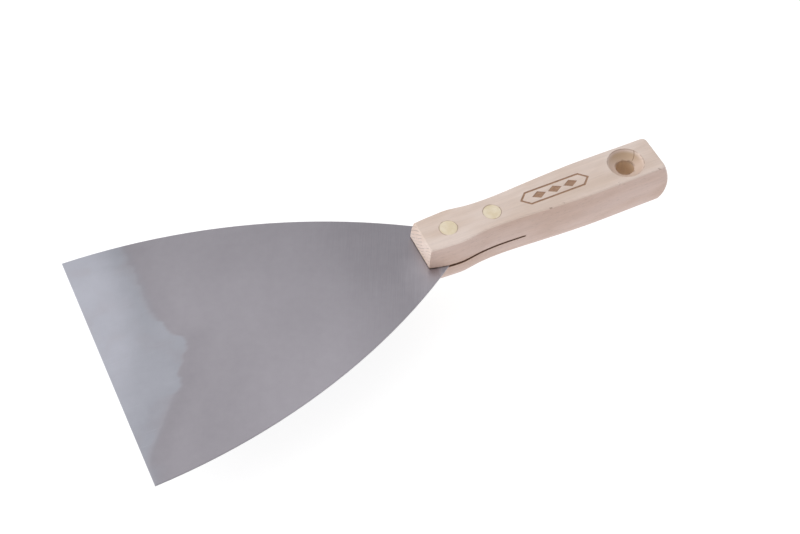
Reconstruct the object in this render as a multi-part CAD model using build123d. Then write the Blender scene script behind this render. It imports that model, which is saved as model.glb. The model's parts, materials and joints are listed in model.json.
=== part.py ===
from build123d import *
import os

# Flexible putty knife: one blade of spring steel whose tang sits in a saw kerf in a
# one-piece beech handle, held by two cutlery rivets ground flush with the wood.
#
# Frame: the origin is the centre of the footprint, on the plane of the handle's lower face.
# +X runs from the blade's front edge to the butt, +Z is the blade's normal, and the handle's
# marked face is the upper one. The knife is symmetrical about the XZ plane.

# Driving dimensions, millimetres
LENGTH = 259.5              # front edge of the blade to the end of the butt
BLADE_WIDTH = 120.0         # straight front edge
BLADE_THICKNESS = 0.7
BLADE_SIDE_RADIUS = 279.0   # long convex curve of each side edge
SHOULDER_X = 150.0          # where the side edges end inside the kerf, from the front edge
SHOULDER_HALF_WIDTH = 11.5
TANG_HALF_WIDTH = 8.0
TANG_END_X = 186.0
TANG_CORNER_RADIUS = 3.0

HANDLE_LENGTH = 118.0
HANDLE_THICKNESS = 21.0     # between the two flat faces
HANDLE_FRONT_BULGE = 1.4    # how far the end-grain front face stands out at mid-height
HANDLE_BULGE = 2.6          # the same for the sides and the butt
BUTT_CORNER_RADIUS = 4.6
CREASE = 0.35               # softened edge between a flat face and the side
KERF_DEPTH = 45.5
KERF_MOUTH = 1.4            # the kerf narrows to grip the end of the tang
KERF_END = 0.8
SAW_OVERRUN = 1.0           # cutting shapes start this far in front of the mouth

RIVET_X = {"front": 155.0, "rear": 175.9}   # from the blade's front edge
RIVET_HEAD_DIAMETER = 7.8
RIVET_HEAD_SEAT = 1.6       # depth of the counterbore under each head
RIVET_RECESS = 0.05         # head face below the wood
RIVET_TUBE_DIAMETER = 5.0
RIVET_PIN_DIAMETER = 3.0
RIVET_PIN_LENGTH = 14.0
RIVET_CLOSING_GAP = 0.6     # between the tube's mouth and the opposite head
SEAT_GAP = 0.08             # round each head, a thin dark ring in the wood
RUNNING_GAP = 0.02          # pin in tube
HOLE_GAP = 0.05             # tube in wood
TANG_HOLE_DIAMETER = 5.6

HANGING_HOLE_X = 242.0      # from the blade's front edge
HANGING_HOLE_DIAMETER = 8.4
HANGING_RIM_DIAMETER = 16.6
HANGING_DISH_RADIUS = 10.3  # the hole is dished on both faces by a ball of this radius

MARK_X = 206.5              # centre of the burnt mark, from the blade's front edge
MARK_LENGTH = 34.0
MARK_WIDTH = 7.6
MARK_STROKE = 0.9
MARK_DEPTH = 0.2
MARK_DIAMONDS = 3
DIAMOND_SLENDERNESS = 1.7   # length over width

# Worked out from the above
EDGE_X = -LENGTH / 2
MID_Z = HANDLE_THICKNESS / 2
MOUTH_X = EDGE_X + LENGTH - HANDLE_LENGTH
BUTT_X = LENGTH / 2

# Handle stations: distance behind the mouth, half-width at mid-height, and how much
# narrower the flat faces are there. The bulge fades out towards the front corners.
STATIONS = [
    (0.0, 9.6, 1.0),
    (5.5, 11.1, 2.1),
    (11.0, 11.85, HANDLE_BULGE),
    (15.0, 11.95, HANDLE_BULGE),
    (22.0, 11.0, HANDLE_BULGE),
    (31.0, 10.3, HANDLE_BULGE),
    (51.0, 11.05, HANDLE_BULGE),
    (76.0, 12.25, HANDLE_BULGE),
    (HANDLE_LENGTH - BUTT_CORNER_RADIUS, 12.1, HANDLE_BULGE),
]
SECTION_SHARES = [-1.0, -0.5, 0.0, 0.5, 1.0]   # heights of the sections between the creases


def disc(x, z_low, z_high, diameter):
    """A cylinder along Z, x millimetres from the blade's front edge."""
    height = z_high - z_low
    return Pos(EDGE_X + x, 0, z_low + height / 2) * Cylinder(diameter / 2, height)


def blade():
    """Flat spring-steel blade: straight front edge, convex sides, shoulders and tang in one."""
    half = BLADE_WIDTH / 2
    shoulder = (EDGE_X + SHOULDER_X, SHOULDER_HALF_WIDTH)
    step = SHOULDER_HALF_WIDTH - TANG_HALF_WIDTH
    tang_start = (shoulder[0] + step, TANG_HALF_WIDTH)
    tang_end = (EDGE_X + TANG_END_X, TANG_HALF_WIDTH)
    outline = RadiusArc((EDGE_X, half), shoulder, BLADE_SIDE_RADIUS)
    outline += Line(shoulder, tang_start)
    outline += Line(tang_start, tang_end)
    outline += Line(tang_end, (tang_end[0], 0))
    outline += mirror(outline, Plane.XZ)
    outline += Line((EDGE_X, half), (EDGE_X, -half))
    sheet = extrude(make_face(outline.edges()), BLADE_THICKNESS / 2, both=True)
    steel = Pos(0, 0, MID_Z) * sheet
    ends = steel.edges().filter_by(Axis.Z).group_by(Axis.X)[-1]
    steel = fillet(ends, TANG_CORNER_RADIUS)
    for x in RIVET_X.values():
        steel -= disc(x, 0, HANDLE_THICKNESS, TANG_HOLE_DIAMETER)
    return steel


def handle_section(height, inset=0.0):
    """Closed outline of the handle at a height from its mid-plane, drawn in by an inset."""
    inward = (height / MID_Z) ** 2
    front = MOUTH_X + HANDLE_FRONT_BULGE * inward + inset
    back = BUTT_X - HANDLE_BULGE * inward - inset
    radius = BUTT_CORNER_RADIUS - HANDLE_BULGE * inward - inset
    stretch = (back - radius - front) / STATIONS[-1][0]
    side = [(front + d * stretch, w - bulge * inward - inset) for d, w, bulge in STATIONS]
    corner = side[-1]
    butt = (back, corner[1] - radius)
    turned = (corner[0], corner[1] - radius)
    mid = (turned[0] + radius * 0.5 ** 0.5, turned[1] + radius * 0.5 ** 0.5)
    start_slope = (side[1][0] - side[0][0], side[1][1] - side[0][1])
    shares = [station[0] / STATIONS[-1][0] for station in STATIONS]
    upper = [
        Edge.make_spline(side, tangents=[start_slope, (1, 0)], parameters=shares),
        Edge.make_three_point_arc(corner, mid, butt),
    ]
    lower = [mirror(edge, Plane.XZ).edge() for edge in reversed(upper)]
    front_edge = Edge.make_line(side[0], (side[0][0], -side[0][1]))
    butt_edge = Edge.make_line(butt, (butt[0], -butt[1]))
    wire = Wire([front_edge, *upper, butt_edge, *lower])
    return Pos(0, 0, MID_Z + height) * Face(wire)


def kerf():
    """Saw kerf that opens at the mouth and narrows towards its end."""
    start = MOUTH_X - SAW_OVERRUN
    end = MOUTH_X + KERF_DEPTH
    outline = Polyline(
        (start, -KERF_MOUTH / 2), (end, -KERF_END / 2),
        (end, KERF_END / 2), (start, KERF_MOUTH / 2), close=True,
    )
    profile = Plane.XZ * make_face(outline)
    return Pos(0, 0, MID_Z) * extrude(profile, BLADE_WIDTH / 2, both=True)


def rivet_hole(x):
    """Through hole with a flat-bottomed seat for a rivet head on each face."""
    seat = RIVET_HEAD_DIAMETER + 2 * SEAT_GAP
    hole = disc(x, 0, HANDLE_THICKNESS, RIVET_TUBE_DIAMETER + 2 * HOLE_GAP)
    hole += disc(x, 0, RIVET_HEAD_SEAT, seat)
    hole += disc(x, HANDLE_THICKNESS - RIVET_HEAD_SEAT, HANDLE_THICKNESS, seat)
    return hole


def hanging_hole():
    """Through hole near the butt with a shallow round dish on both faces."""
    rim = HANGING_RIM_DIAMETER / 2
    above_face = (HANGING_DISH_RADIUS ** 2 - rim ** 2) ** 0.5
    x = EDGE_X + HANGING_HOLE_X
    hole = disc(HANGING_HOLE_X, 0, HANDLE_THICKNESS, HANGING_HOLE_DIAMETER)
    hole += Pos(x, 0, HANDLE_THICKNESS + above_face) * Sphere(HANGING_DISH_RADIUS)
    hole += Pos(x, 0, -above_face) * Sphere(HANGING_DISH_RADIUS)
    return hole


def hexagon(length, width):
    """Long hexagon whose 45 degree points lie on the X axis."""
    shoulder = length / 2 - width / 2
    return make_face(Polyline(
        (length / 2, 0), (shoulder, width / 2), (-shoulder, width / 2),
        (-length / 2, 0), (-shoulder, -width / 2), (shoulder, -width / 2), close=True,
    ))


def diamond(length, width):
    """Diamond with its long diagonal on the X axis."""
    return make_face(Polyline(
        (length / 2, 0), (0, width / 2), (-length / 2, 0), (0, -width / 2), close=True,
    ))


def mark():
    """Shallow burnt ornament: a long hexagonal frame around a row of diamonds."""
    corner_inset = 2 * MARK_STROKE * 2 ** 0.5
    inner_width = MARK_WIDTH - 2 * MARK_STROKE
    border = hexagon(MARK_LENGTH, MARK_WIDTH)
    border -= hexagon(MARK_LENGTH - corner_inset, inner_width)
    width = inner_width - 2 * MARK_STROKE
    length = DIAMOND_SLENDERNESS * width
    pitch = length + MARK_STROKE
    shapes = [border]
    for i in range(MARK_DIAMONDS):
        x = (i - (MARK_DIAMONDS - 1) / 2) * pitch
        shapes.append(Pos(x, 0) * diamond(length, width))
    place = Pos(EDGE_X + MARK_X, 0, HANDLE_THICKNESS - MARK_DEPTH)
    return [place * extrude(shape, MARK_DEPTH) for shape in shapes]


def handle():
    """Beech handle: flat faces, crowned sides, kerf, rivet holes, hanging hole and mark."""
    crown = MID_Z - CREASE
    wood = loft([handle_section(crown * share) for share in SECTION_SHARES])
    for side in (-1, 1):
        wood += loft([handle_section(side * crown), handle_section(side * MID_Z, CREASE)], ruled=True)
    wood -= kerf()
    for x in RIVET_X.values():
        wood -= rivet_hole(x)
    wood -= hanging_hole()
    for shape in mark():
        wood -= shape
    return wood


def female_rivet(x):
    """Lower half: flush head and a tube that crosses the kerf."""
    tube_top = HANDLE_THICKNESS - RIVET_HEAD_SEAT - RIVET_CLOSING_GAP
    bore = RIVET_PIN_DIAMETER + 2 * RUNNING_GAP
    half = disc(x, RIVET_RECESS, RIVET_HEAD_SEAT, RIVET_HEAD_DIAMETER)
    half += disc(x, RIVET_HEAD_SEAT, tube_top, RIVET_TUBE_DIAMETER)
    return half - disc(x, RIVET_HEAD_SEAT, tube_top, bore)


def male_rivet(x):
    """Upper half: flush head and the solid pin driven into the tube."""
    seat = HANDLE_THICKNESS - RIVET_HEAD_SEAT
    half = disc(x, seat, HANDLE_THICKNESS - RIVET_RECESS, RIVET_HEAD_DIAMETER)
    return half + disc(x, seat - RIVET_PIN_LENGTH, seat, RIVET_PIN_DIAMETER)


os.makedirs("parts", exist_ok=True)
export_step(blade(), "parts/blade.step")
export_step(handle(), "parts/handle.step")
for place, rivet_x in RIVET_X.items():
    export_step(female_rivet(rivet_x), f"parts/{place}_rivet_female.step")
    export_step(male_rivet(rivet_x), f"parts/{place}_rivet_male.step")
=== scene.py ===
import json
import math

import bmesh
import bpy
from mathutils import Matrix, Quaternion, Vector


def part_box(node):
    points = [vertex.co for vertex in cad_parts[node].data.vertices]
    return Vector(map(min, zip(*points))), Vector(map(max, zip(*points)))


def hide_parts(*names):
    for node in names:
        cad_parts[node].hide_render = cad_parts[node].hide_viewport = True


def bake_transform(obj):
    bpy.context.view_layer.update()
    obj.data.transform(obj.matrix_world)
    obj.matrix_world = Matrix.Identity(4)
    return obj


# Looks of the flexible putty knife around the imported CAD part. Blender works in metres; the
# material functions below work in millimetres of the row frame, so sizes read as on the object.
MM = 0.001

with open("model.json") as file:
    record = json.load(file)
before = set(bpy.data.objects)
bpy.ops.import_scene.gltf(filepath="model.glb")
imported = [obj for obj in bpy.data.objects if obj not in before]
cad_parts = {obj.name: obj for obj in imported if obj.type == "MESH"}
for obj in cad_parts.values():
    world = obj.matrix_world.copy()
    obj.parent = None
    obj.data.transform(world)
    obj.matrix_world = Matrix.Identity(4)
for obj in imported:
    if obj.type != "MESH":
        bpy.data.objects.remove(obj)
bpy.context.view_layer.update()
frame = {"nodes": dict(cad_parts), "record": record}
nodes = frame["nodes"]


# ---------------------------------------------------------------- places taken from the frame

def in_mm(vector):
    """A frame position in millimetres."""
    return Vector(vector) / MM


handle_low, handle_high = [in_mm(corner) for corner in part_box("handle")]
blade_low, blade_high = [in_mm(corner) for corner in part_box("blade")]
FRONT_X = blade_low.x                       # the blade's front edge
MOUTH_X = handle_low.x                      # where the blade enters the handle
TANG_END_X = blade_high.x
TOP_Z = handle_high.z
MID_Z = (handle_low.z + handle_high.z) / 2
mounts = {mount["name"]: mount for mount in frame["record"]["mounts"]}
HOLE_X = in_mm(mounts["hanging_hole"]["pos_m"]).x
HOLE_THROAT = mounts["hanging_hole"]["dims"]["r_mm"]
DISH_DEPTH = (TOP_Z - mounts["hanging_hole"]["dims"]["length_mm"]) / 2
RIVET_BOXES = [[in_mm(corner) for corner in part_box(name)] for name in nodes if "female" in name]
joints = {joint["name"]: joint for joint in frame["record"]["behaviour"]["joints"]}
BEND_LIMIT = math.radians(joints["blade_flex"]["range_deg"][1])

# places and details that the frame doesn't name
KERF_END_X = TANG_END_X + 1.0
KERF_MOUTH_HALF = 0.7
KERF_END_HALF = 0.4
MARK_X = MOUTH_X + 65.0
MARK_HALF_LENGTH = 17.2
MARK_HALF_WIDTH = 4.0
RING_SPACING = 1.3                           # between growth rings
RING_DIRECTION = (0.61, 0.76)                # across the growth rings, as shares of Y and Z
HOLE_RIM = 8.3                               # radius of the dish round the hanging hole
FAR_WALL_DIRECTION = (0.4, 0.92)             # towards the dish's far wall, where painted shade lies, as shares of X and Y
CRACK_ANGLE = math.radians(52.6)
CRACK_ASIDE = -2.98                          # how far the crack passes from the hole's axis
CRACK_MIDDLE = 6.1                           # along the crack, from the point nearest the axis
CRACK_HALF_LENGTH = 1.9
CRACK_BOW = 0.14                             # sideways per square millimetre along
NICK_SEED = 61.0                             # picks where the crease is dented
RIVET_SEED = 4.0                             # picks where the painted shade in the gaps round the rivet heads lies
SIDE_PAINTED_SHADE = (0.91, 0.835, 0.83)              # painted shade: the handle's sides darker than its flat faces, as where less light falls
GRIND_ANGLE = math.radians(-26.0)            # of the grinding lines, about Z
ZONE_DEPTH = 26.0                            # of the blade's light zone, behind the front edge
ZONE_CREST_Y = -1.0                          # where the zone reaches furthest back
ZONE_CREST_WIDTH = 9.0
ZONE_CREST_RISE = 8.0


# ---------------------------------------------------------------- node helpers

class Shader:
    """A node material with a Principled surface and short calls for building its inputs."""

    def __init__(self, name):
        self.material = bpy.data.materials.new(name)
        self.material.use_nodes = True
        self.tree = self.material.node_tree
        self.tree.nodes.clear()
        self.surface = self.tree.nodes.new("ShaderNodeBsdfPrincipled")
        output = self.tree.nodes.new("ShaderNodeOutputMaterial")
        self.tree.links.new(self.surface.outputs[0], output.inputs["Surface"])
        place = self.tree.nodes.new("ShaderNodeTexCoord")
        self.place = self.vector("MULTIPLY", place.outputs["Object"], (1 / MM, 1 / MM, 1 / MM))
        split = self.tree.nodes.new("ShaderNodeSeparateXYZ")
        self.tree.links.new(self.place, split.inputs[0])
        self.x, self.y, self.z = split.outputs

    def put(self, socket, value):
        """Sets a socket to a number, a colour or another node's output."""
        if isinstance(value, bpy.types.NodeSocket):
            self.tree.links.new(value, socket)
        else:
            socket.default_value = value

    def set(self, **inputs):
        """Sets inputs of the Principled surface, with underscores for spaces."""
        for name, value in inputs.items():
            self.put(self.surface.inputs[name.replace("_", " ")], value)

    def math(self, operation, a, b=0.0, c=0.0):
        """One Math node."""
        node = self.tree.nodes.new("ShaderNodeMath")
        node.operation = operation
        for socket, value in zip(node.inputs, (a, b, c)):
            self.put(socket, value)
        return node.outputs[0]

    def add(self, *terms):
        """The sum of the terms."""
        total = terms[0]
        for term in terms[1:]:
            total = self.math("ADD", total, term)
        return total

    def times(self, *factors):
        """The product of the factors."""
        total = factors[0]
        for factor in factors[1:]:
            total = self.math("MULTIPLY", total, factor)
        return total

    def vector(self, operation, a, b):
        """One Vector Math node."""
        node = self.tree.nodes.new("ShaderNodeVectorMath")
        node.operation = operation
        self.put(node.inputs[0], a)
        self.put(node.inputs[1], b)
        return node.outputs[0]

    def step(self, value, low, high):
        """0 below low, 1 above high, smooth between them; low may be the larger one."""
        node = self.tree.nodes.new("ShaderNodeMapRange")
        node.interpolation_type = "SMOOTHSTEP"
        flipped = not isinstance(low, bpy.types.NodeSocket) and low > high
        ends = (high, low, 1.0, 0.0) if flipped else (low, high, 0.0, 1.0)
        self.put(node.inputs["Value"], value)
        for socket, end in zip(("From Min", "From Max", "To Min", "To Max"), ends):
            self.put(node.inputs[socket], end)
        return node.outputs[0]

    def within(self, value, centre, half, edge):
        """1 where a value is within half of the centre, fading out over the edge width."""
        away = self.math("ABSOLUTE", self.math("SUBTRACT", value, centre))
        return self.step(away, half + edge, half)

    def turned(self, angle):
        """The place in axes turned about Z by an angle."""
        node = self.tree.nodes.new("ShaderNodeVectorRotate")
        node.rotation_type = "Z_AXIS"
        self.put(node.inputs["Vector"], self.place)
        node.inputs["Angle"].default_value = -angle
        return node.outputs[0]

    def noise(self, scale, detail=2.0, rough=0.5, shift=0.0, place=None):
        """Noise about 0.5, with a scale per axis in cycles per millimetre."""
        moved = self.vector("ADD", place or self.place, (shift, shift * 0.7, shift * 1.3))
        scaled = self.vector("MULTIPLY", moved, scale)
        node = self.tree.nodes.new("ShaderNodeTexNoise")
        self.put(node.inputs["Vector"], scaled)
        node.inputs["Scale"].default_value = 1.0
        node.inputs["Detail"].default_value = detail
        node.inputs["Roughness"].default_value = rough
        return node.outputs["Fac"]

    def swing(self, noise, amount):
        """A noise turned into a value about 0 that runs to plus and minus the amount."""
        return self.times(self.math("SUBTRACT", noise, 0.5), 2 * amount)

    def mix(self, factor, a, b):
        """Colour a where the factor is 0, colour b where it is 1."""
        node = self.tree.nodes.new("ShaderNodeMix")
        node.data_type = "RGBA"
        self.put(node.inputs["Factor"], factor)
        for name, value in (("A", a), ("B", b)):
            socket = next(s for s in node.inputs if s.name == name and s.type == "RGBA")
            self.put(socket, value)
        return next(s for s in node.outputs if s.type == "RGBA")

    def shade(self, colour, brightness):
        """Multiplies a colour by a grey value."""
        return self.vector("MULTIPLY", colour, self.grey(brightness))

    def grey(self, value):
        """One value in all three channels."""
        node = self.tree.nodes.new("ShaderNodeCombineXYZ")
        for socket in node.inputs:
            self.put(socket, value)
        return node.outputs[0]

    def bump(self, height, distance_mm, strength=1.0):
        """Surface relief from a height of 0 to 1 that stands for the given depth."""
        node = self.tree.nodes.new("ShaderNodeBump")
        node.inputs["Strength"].default_value = strength
        node.inputs["Distance"].default_value = distance_mm * MM
        self.put(node.inputs["Height"], height)
        self.put(self.surface.inputs["Normal"], node.outputs[0])

    def facing(self, axis):
        """How squarely the surface faces along an axis of the frame, either way."""
        geometry = self.tree.nodes.new("ShaderNodeNewGeometry")
        split = self.tree.nodes.new("ShaderNodeSeparateXYZ")
        self.tree.links.new(geometry.outputs["Normal"], split.inputs[0])
        return self.math("ABSOLUTE", split.outputs["XYZ".index(axis)])


def rgb(red, green, blue):
    """A display colour of 0 to 255 as Blender's linear colour."""
    def linear(value):
        value /= 255
        return value / 12.92 if value <= 0.04045 else ((value + 0.055) / 1.055) ** 2.4
    return (linear(red), linear(green), linear(blue), 1.0)


class Handle(Shader):
    """The places on the handle that differ from plain wood, each as a mask of 0 to 1."""

    def from_axis(self, x, y):
        """Distance from an upright axis through a place on the handle."""
        along = self.math("SUBTRACT", self.x, x)
        aside = self.math("SUBTRACT", self.y, y)
        return self.math("SQRT", self.add(self.times(along, along), self.times(aside, aside)))

    def from_hole(self):
        """Distance from the axis of the hanging hole."""
        return self.from_axis(HOLE_X, 0.0)

    def past_hole(self):
        """Distance along X behind the axis of the hanging hole."""
        return self.math("SUBTRACT", self.x, HOLE_X)

    def up_the_far_wall(self):
        """Distance from the hanging hole's axis towards the far side of the butt."""
        along, aside = FAR_WALL_DIRECTION
        return self.add(self.times(self.past_hole(), along), self.times(self.y, aside))

    def from_middle(self):
        """Height above or below the blade's plane."""
        return self.math("ABSOLUTE", self.math("SUBTRACT", self.z, MID_Z))

    def depth(self):
        """Depth below the nearer flat face."""
        return self.math("SUBTRACT", MID_Z, self.from_middle())

    def dish(self):
        """The cut wood in the shallow dish, on both faces."""
        inside = self.step(self.from_hole(), HOLE_RIM + 0.1, HOLE_RIM - 0.4)
        return self.times(inside, self.step(self.depth(), 0.0, 0.5 * DISH_DEPTH))

    def throat(self):
        """The drilled wall below the dish."""
        inside = self.step(self.from_hole(), HOLE_THROAT + 0.4, HOLE_THROAT + 0.1)
        return self.times(inside, self.step(self.depth(), DISH_DEPTH, DISH_DEPTH + 2.0))

    def hole_burr_and_shade(self):
        """Torn fibres that darken parts of the dish's rim and of the throat's edge, and painted
        shade all along the rim's far side.
        """
        torn = self.step(self.noise((0.35, 0.35, 0.35), detail=3.0, shift=83.0), 0.45, 0.6)
        rim = self.within(self.from_hole(), HOLE_RIM - 0.1, 0.05, 0.22)
        edge = self.within(self.from_hole(), HOLE_THROAT + 0.15, 0.15, 0.35)
        edge = self.times(edge, self.step(self.depth(), DISH_DEPTH + 0.6, DISH_DEPTH + 0.2))
        # painted shade: the rim dark all along its far side, as shade under its edge
        far = self.step(self.up_the_far_wall(), 0.5 * HOLE_RIM, 0.9 * HOLE_RIM)
        torn_and_shaded_rim = self.times(rim, self.math("MAXIMUM", torn, far))
        return self.math("MAXIMUM", torn_and_shaded_rim, self.times(edge, torn))

    def hole_crack(self):
        """A curved hair crack in the upper dish, from the rim towards the throat."""
        along = self.past_hole()
        forward = math.cos(CRACK_ANGLE)
        side = math.sin(CRACK_ANGLE)
        ahead = self.add(self.times(along, forward), self.times(self.y, side), -CRACK_MIDDLE)
        aside = self.add(self.times(along, -side), self.times(self.y, forward), -CRACK_ASIDE)
        bow = self.times(ahead, ahead, -CRACK_BOW)
        line = self.step(self.math("ABSOLUTE", self.add(aside, bow)), 0.22, 0.08)
        reach = self.within(ahead, 0.0, CRACK_HALF_LENGTH - 0.3, 0.6)
        return self.times(line, reach, self.step(self.z, MID_Z, MID_Z + 1.0))

    def crease_nicks(self):
        """Short dents in the near crease of the upper face."""
        upper = self.step(self.z, TOP_Z - 0.9, TOP_Z - 0.5)
        near = self.step(self.y, -8.2, -8.8)
        dents = self.step(self.noise((0.3, 0.6, 0.6), detail=1.0, shift=NICK_SEED), 0.68, 0.74)
        return self.times(upper, near, dents)

    def rivet_gap_shade(self):
        """Painted shade in the thin gap round each rivet head, along parts of its length."""
        total = 0.0
        for low, high in RIVET_BOXES:
            apart = self.from_axis((low.x + high.x) / 2, (low.y + high.y) / 2)
            radius = (high.y - low.y) / 2
            total = self.math("ADD", total, self.step(apart, radius + 0.4, radius + 0.2))
        gaps = self.step(self.noise((0.22, 0.22, 0.0), detail=1.0, shift=RIVET_SEED), 0.42, 0.56)
        return self.times(self.math("MINIMUM", total, 1.0), gaps)

    def kerf_half_width(self):
        """Half the kerf's width, which narrows from the mouth to its end."""
        share = self.step(self.x, MOUTH_X, KERF_END_X)
        return self.add(KERF_MOUTH_HALF, self.times(share, KERF_END_HALF - KERF_MOUTH_HALF))

    def kerf_wall_shade(self):
        """Everything between the kerf's two walls, with the walls, where the slot's shade is
        painted.
        """
        before_end = self.step(self.x, KERF_END_X + 0.5, KERF_END_X + 0.2)
        wall = self.add(self.kerf_half_width(), 0.03)
        inside = self.math("LESS_THAN", self.from_middle(), wall)
        return self.times(before_end, inside)

    def kerf_lip_shade(self):
        """Painted shade on the wood just outside the kerf, brown and ragged along its edges."""
        beyond = self.math("SUBTRACT", self.from_middle(), self.kerf_half_width())
        ragged = self.swing(self.noise((0.6, 0.6, 2.0), shift=29.0), 0.5)
        before_end = self.step(self.x, KERF_END_X + 1.5, KERF_END_X - 1.0)
        return self.times(before_end, self.step(self.add(beyond, ragged), 0.45, 0.0))

    def burnt_mark(self):
        """The floor and walls of the ornament, which lie below the upper face."""
        sunk = self.step(self.z, TOP_Z - 0.02, TOP_Z - 0.1)
        shallow = self.step(self.z, TOP_Z - 0.5, TOP_Z - 0.3)
        in_length = self.within(self.x, MARK_X, MARK_HALF_LENGTH, 0.1)
        in_width = self.within(self.y, 0.0, MARK_HALF_WIDTH, 0.1)
        return self.times(sunk, shallow, in_length, in_width)


# ---------------------------------------------------------------- materials

def beech_material():
    """Sanded raw beech: fine grain along X, ray flecks, ring lines on the end grain, the burnt
    mark, the kerf, and a hanging hole with a darker dish and a hair crack. Painted shade darkens
    the sides, the kerf and its lips, the gaps round the rivet heads and the dish's far wall and
    rim;
    painted light lifts the end grain."""
    s = Handle("beech")
    # a mask of the end-grain faces, for rings, pores, roughness and the painted light on them
    end_grain_and_light = s.step(s.facing("X"), 0.55, 0.9)
    # a mask of the sides, for the ray flecks and for the painted shade on the sides
    side_grain_and_shade = s.step(s.facing("Y"), 0.45, 0.9)

    # growth rings: planes that lean across the handle, seen as dark lines on the end grain
    wander = s.swing(s.noise((0.012, 0.07, 0.07), detail=2.0), 2.4)
    across_y, across_z = RING_DIRECTION
    ring_place = s.add(s.times(s.y, across_y), s.times(s.z, across_z), wander)
    ring_wave = s.math("SINE", s.times(ring_place, 2 * math.pi / RING_SPACING))
    ring_lines = s.step(ring_wave, 0.5, 0.95)
    ring_strength = s.step(s.noise((0.05, 0.35, 0.35), detail=1.0, shift=19.0), 0.35, 0.6)
    rings = s.times(ring_lines, ring_strength)

    fibre = s.noise((0.09, 3.4, 3.4), detail=4.0, rough=0.65)
    streak = s.noise((0.02, 0.6, 0.6), detail=3.0, shift=11.0)
    blotch = s.noise((0.035, 0.11, 0.11), detail=3.0, shift=37.0)
    flecks = s.step(s.noise((0.45, 3.0, 3.0), detail=1.0, shift=5.0), 0.63, 0.72)
    pores = s.step(s.noise((3.0, 3.0, 3.0), detail=1.0, shift=71.0), 0.6, 0.7)

    pale = rgb(222, 206, 197)
    warm = rgb(211, 191, 178)
    colour = s.mix(s.step(blotch, 0.3, 0.7), pale, warm)
    tone = s.add(
        1.0,
        s.swing(fibre, 0.1),
        s.swing(streak, 0.07),
        s.times(rings, s.add(-0.02, s.times(end_grain_and_light, -0.3))),
        s.times(flecks, s.add(-0.04, s.times(side_grain_and_shade, -0.1))),
        s.times(pores, end_grain_and_light, -0.05),
        # painted light: the end-grain faces made lighter, as where the light falls on the front
        # face
        s.times(end_grain_and_light, 0.2),
        s.times(s.step(s.x, MOUTH_X + 55.0, MOUTH_X), 0.02),
    )
    colour = s.shade(colour, tone)
    # painted shade: the sides tinted darker and redder than the flat faces
    colour = s.mix(side_grain_and_shade, colour, s.vector("MULTIPLY", colour, SIDE_PAINTED_SHADE))
    # painted shade: the dish's far wall painted darker, as shade in the hollow; the rest of the
    # dish is cut wood a little darker than the faces
    far_wall_shade = s.step(s.up_the_far_wall(), 0.0, 0.75 * HOLE_RIM)
    dish_colour_and_shade = s.mix(far_wall_shade, rgb(208, 184, 168), rgb(176, 148, 119))
    colour = s.mix(s.times(s.dish(), 0.85), colour, dish_colour_and_shade)
    colour = s.mix(s.times(s.throat(), 0.8), colour, rgb(214, 186, 154))
    colour = s.mix(s.times(s.hole_burr_and_shade(), 0.55), colour, rgb(140, 112, 92))
    colour = s.mix(s.times(s.hole_crack(), 0.75), colour, rgb(120, 92, 72))
    colour = s.mix(s.times(s.crease_nicks(), 0.6), colour, rgb(128, 104, 88))
    # painted shade: the thin gap round each rivet head, dark along parts of its length
    colour = s.mix(s.rivet_gap_shade(), colour, rgb(176, 152, 134))
    # painted shade: the kerf's walls painted near-black brown, as the deep slot's shade
    colour = s.mix(s.times(s.kerf_wall_shade(), 0.95), colour, rgb(64, 41, 30))
    # painted shade: darker brown wood along the kerf's edges
    colour = s.mix(s.times(s.kerf_lip_shade(), 0.6), colour, rgb(150, 114, 90))
    burnt = s.burnt_mark()
    patchy = s.step(s.noise((0.5, 1.4, 1.4), detail=3.0, shift=23.0), 0.25, 0.7)
    burn_colour = s.mix(patchy, rgb(176, 143, 119), rgb(150, 118, 96))
    colour = s.mix(burnt, colour, burn_colour)

    s.set(Base_Color=colour)
    s.set(Roughness=s.add(0.6, s.swing(fibre, 0.14), s.times(end_grain_and_light, 0.12)))
    s.set(Specular_IOR_Level=0.3)
    s.bump(s.add(s.times(fibre, 0.7), s.times(streak, 0.3), s.times(flecks, -0.25)), 0.06, 0.6)
    return s.material


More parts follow.
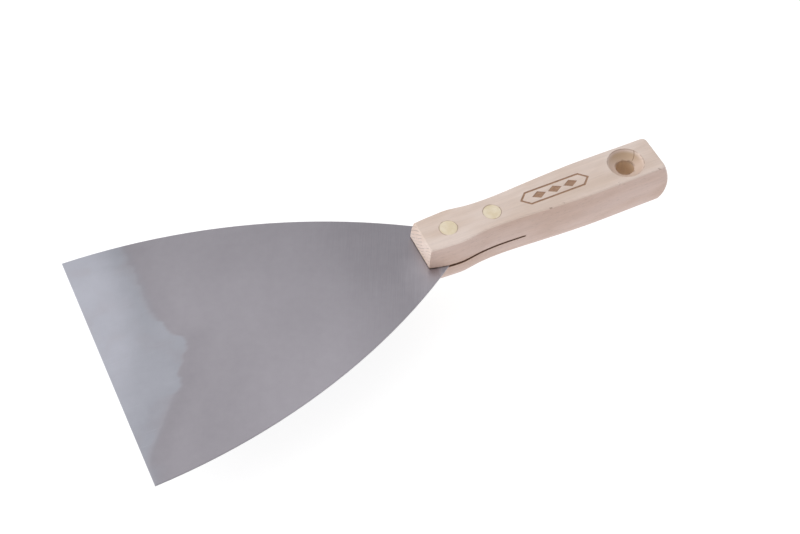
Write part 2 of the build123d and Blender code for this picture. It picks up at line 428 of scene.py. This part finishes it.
def steel_material():
    """Ground spring steel: cloudy grey, a bluish lighter zone along the front edge with a wavy
    border, a darker neck, and fine grinding lines that run aslant across the blade. The ranges
    are millimetres behind the front edge and across the blade, where the near side is -Y."""
    s = Shader("spring_steel")
    from_front = s.math("SUBTRACT", s.x, FRONT_X)
    across = s.y

    # the lighter zone bulges near the middle and runs out before the near corner
    from_crest = s.math("DIVIDE", s.add(across, -ZONE_CREST_Y), ZONE_CREST_WIDTH)
    crest = s.math("EXPONENT", s.times(from_crest, from_crest, -1.0))
    ragged = s.swing(s.noise((0.03, 0.12, 0.0), detail=3.0, rough=0.5), 5.5)
    full_depth = s.add(ZONE_DEPTH, s.times(crest, ZONE_CREST_RISE), ragged)
    depth = s.times(full_depth, s.step(across, -55.0, -12.0))
    beyond = s.math("SUBTRACT", from_front, depth)
    far_softness = s.times(s.step(across, 5.0, 35.0), 3.5)
    near_softness = s.times(s.step(across, -8.0, -30.0), 1.6)
    softness = s.add(1.5, far_softness, near_softness)
    inside = s.step(s.math("DIVIDE", beyond, softness), 1.0, -1.0)
    white_depth = s.add(s.times(s.step(across, -44.0, 36.0), 19.0), s.times(ragged, 0.8))
    white = s.step(s.math("SUBTRACT", from_front, white_depth), 8.0, -9.0)
    band = s.times(s.step(beyond, -0.5, 1.5), s.step(beyond, 15.0, 2.0))

    slant = s.turned(GRIND_ANGLE)
    clouds = s.noise((0.02, 0.035, 0.0), detail=3.0, shift=9.0)
    bands = s.noise((0.06, 0.012, 0.0), detail=2.0, shift=51.0, place=slant)
    lines = s.noise((2.6, 0.05, 0.0), detail=4.0, rough=0.75, shift=3.0, place=slant)
    mottle = s.noise((0.25, 0.25, 0.0), detail=4.0, rough=0.6, shift=33.0)
    wipes = s.noise((0.06, 1.1, 0.0), detail=2.0, rough=0.6, shift=17.0)
    scratches = s.step(wipes, 0.64, 0.72)
    neck = s.step(from_front, 92.0, 130.0)
    glow = s.times(s.step(from_front, 126.0, 140.0), s.step(across, 3.0, -8.0))
    near_front = s.times(s.step(across, 12.0, -50.0), s.step(from_front, 80.0, 25.0))

    grey = rgb(166, 162, 169)
    bluish = rgb(167, 168, 177)
    patches = s.noise((0.05, 0.06, 0.0), detail=2.0, rough=0.4, shift=63.0)
    blueness = s.times(s.math("MAXIMUM", inside, white), s.add(0.6, s.step(patches, 0.3, 0.7)))
    colour = s.mix(s.math("MINIMUM", blueness, 1.0), grey, bluish)
    tone = s.add(
        1.0,
        s.times(white, inside, s.add(0.08, s.times(s.step(across, -30.0, 42.0), 0.2))),
        s.times(near_front, -0.15),
        s.times(band, -0.07),
        s.times(inside, s.swing(patches, 0.08)),
        s.times(neck, -0.13),
        s.times(glow, 0.2),
        s.swing(clouds, 0.07),
        s.swing(bands, 0.05),
        s.swing(mottle, 0.05),
        s.times(s.swing(lines, 0.07), s.add(0.5, neck, neck)),
        s.times(scratches, inside, 0.05),
    )
    s.set(Base_Color=s.shade(colour, tone), Metallic=1.0)
    unevenness = s.add(s.swing(lines, 0.08), s.swing(clouds, 0.06))
    s.set(Roughness=s.add(0.36, unevenness, s.times(inside, -0.04)))
    s.bump(s.add(s.times(lines, 0.7), s.times(wipes, 0.3)), 0.012, 0.5)
    return s.material


def brass_material():
    """Pale brass sanded flush with the wood: fine scratches one way and a cloudy tone."""
    s = Shader("rivet_brass")
    scratches = s.noise((0.5, 6.0, 0.5), detail=4.0, rough=0.7)
    cloud = s.noise((0.35, 0.35, 0.35), detail=2.0, shift=13.0)
    colour = s.mix(s.step(cloud, 0.3, 0.7), rgb(240, 227, 204), rgb(230, 214, 184))
    s.set(Base_Color=s.shade(colour, s.add(1.0, s.swing(scratches, 0.07))))
    s.set(Metallic=0.5, Roughness=s.add(0.45, s.swing(scratches, 0.12)))
    s.bump(scratches, 0.02, 0.5)
    return s.material


def floor_material():
    """Plain matt white that glows a little, so that shadows on it stay faint."""
    s = Shader("studio_floor")
    s.set(Base_Color=(0.3, 0.3, 0.3, 1.0), Roughness=0.9, Specular_IOR_Level=0.1)
    s.set(Emission_Color=(1.0, 1.0, 1.0, 1.0), Emission_Strength=0.82)
    return s.material


def wall_material():
    """Even white with no shading of its own."""
    s = Shader("studio_wall")
    s.set(Base_Color=(0.0, 0.0, 0.0, 1.0), Specular_IOR_Level=0.0)
    s.set(Emission_Color=(1.0, 1.0, 1.0, 1.0), Emission_Strength=1.0)
    return s.material


def finish_with(obj, material):
    """Gives every slot of an object the one material."""
    obj.data.materials.clear()
    obj.data.materials.append(material)


# ---------------------------------------------------------------- pieces

def flexing_blade():
    """The blade as a fine mesh, so that it can bend: the CAD outline with its edges broken by
    a hair and cut into strips across its length."""
    edge_break = 0.1 * MM
    strip = 3.0 * MM
    weld = 1e-6
    level = 1e-7
    flat_angle = math.radians(0.5)
    rim_angle = math.radians(60)
    sharp_angle = math.radians(25)
    mesh = nodes["blade"].data.copy()
    mesh.name = "flexing_blade"
    bm = bmesh.new()
    bm.from_mesh(mesh)
    bmesh.ops.remove_doubles(bm, verts=bm.verts, dist=weld)
    bmesh.ops.dissolve_limit(bm, angle_limit=flat_angle, verts=bm.verts, edges=bm.edges)
    rims = [e for e in bm.edges if len(e.link_faces) == 2 and e.calc_face_angle(0) > rim_angle]
    flat_rims = [e for e in rims if abs(e.verts[0].co.z - e.verts[1].co.z) < level]
    bmesh.ops.bevel(bm, geom=flat_rims, offset=edge_break, segments=1, affect="EDGES")
    start = FRONT_X * MM
    end = TANG_END_X * MM
    count = round((end - start) / strip)
    for i in range(1, count):
        geometry = bm.verts[:] + bm.edges[:] + bm.faces[:]
        at = (start + (end - start) * i / count, 0, 0)
        bmesh.ops.bisect_plane(bm, geom=geometry, plane_co=at, plane_no=(1, 0, 0), dist=level)
    bmesh.ops.triangulate(bm, faces=[f for f in bm.faces if len(f.verts) > 4])
    bm.to_mesh(mesh)
    bm.free()
    mesh.shade_smooth()
    mesh.set_sharp_from_angle(angle=sharp_angle)
    piece = bpy.data.objects.new("flexing_blade", mesh)
    bpy.context.scene.collection.objects.link(piece)
    return piece


def dress():
    """Materials for every piece, and the bending blade in place of the rigid one."""
    steel = steel_material()
    brass = brass_material()
    blade = flexing_blade()
    finish_with(blade, steel)
    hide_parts("blade")
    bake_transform(blade)
    finish_with(nodes["blade"], steel)
    finish_with(nodes["handle"], beech_material())
    for name, node in nodes.items():
        if "rivet" in name:
            finish_with(node, brass)


# ---------------------------------------------------------------- studio

def stage_object(name, verts, faces):
    """A plain part of the studio, which isn't part of the knife."""
    mesh = bpy.data.meshes.new(name)
    mesh.from_pydata(verts, [], faces)
    obj = bpy.data.objects.new(name, mesh)
    bpy.context.scene.collection.objects.link(obj)
    return obj


def floor_and_wall():
    """A round floor just below the lowest place that the bent blade reaches, and a round white
    wall at its rim, in metres with the clearance in millimetres. The wall is there for low
    views only: it is hidden from diffuse light, from reflections and from shadows."""
    sides = 96
    radius = 4.0
    height = 4.0
    clearance = 5.0
    tip_drop = (MOUTH_X - FRONT_X) * math.sin(BEND_LIMIT)
    floor_z = (MID_Z - tip_drop - clearance) * MM
    turns = [2 * math.pi * i / sides for i in range(sides)]
    rim = [(radius * math.cos(t), radius * math.sin(t)) for t in turns]
    bottom = [(x, y, floor_z) for x, y in rim]
    top = [(x, y, height) for x, y in rim]
    finish_with(stage_object("floor", bottom, [range(sides)]), floor_material())
    panels = [(i, (i + 1) % sides, (i + 1) % sides + sides, i + sides) for i in range(sides)]
    wall = stage_object("wall", bottom + top, panels)
    finish_with(wall, wall_material())
    wall.visible_diffuse = False
    wall.visible_glossy = False
    wall.visible_shadow = False


def soft_box(name, direction, distance, size, watts):
    """A square area light that faces the object from a direction, in metres."""
    light = bpy.data.lights.new(name, "AREA")
    light.size = size
    light.energy = watts
    lamp = bpy.data.objects.new(name, light)
    bpy.context.scene.collection.objects.link(lamp)
    towards = Vector(direction).normalized()
    lamp.location = towards * distance
    lamp.rotation_euler = towards.to_track_quat("Z", "Y").to_euler()


def studio_light():
    """White surroundings, a large key light from beyond the blade's front edge and a second
    one of nearly the same power from above."""
    world = bpy.data.worlds.new("studio")
    bpy.context.scene.world = world
    world.use_nodes = True
    background = world.node_tree.nodes["Background"]
    background.inputs["Color"].default_value = (1.0, 1.0, 1.0, 1.0)
    background.inputs["Strength"].default_value = 0.55
    soft_box("key_light", direction=(-0.85, 0.2, 0.52), distance=1.8, size=2.0, watts=14.5)
    soft_box("top_light", direction=(-0.25, 0.12, 1.0), distance=1.8, size=2.4, watts=13.5)


def camera():
    """The main view, given by the camera's angles, its distance and the place it aims at."""
    azimuth = math.radians(-24.35)
    elevation = math.radians(52.37)
    roll = math.radians(0.62)
    distance = 672.7 * MM
    target = Vector((0.96, -3.08, MID_Z)) * MM
    back = Vector((
        math.sin(azimuth) * math.cos(elevation),
        -math.cos(azimuth) * math.cos(elevation),
        math.sin(elevation),
    ))
    data = bpy.data.cameras.new("camera")
    data.lens = 70.77
    data.sensor_width = 36.0
    obj = bpy.data.objects.new("camera", data)
    bpy.context.scene.collection.objects.link(obj)
    obj.location = target + back * distance
    obj.rotation_mode = "QUATERNION"
    level = (-back).to_track_quat("-Z", "Y")
    turn = Quaternion((0, 0, 1), -roll)
    obj.rotation_quaternion = level @ turn
    bpy.context.scene.camera = obj


bpy.context.scene.view_settings.view_transform = "Standard"
dress()
floor_and_wall()
studio_light()
camera()
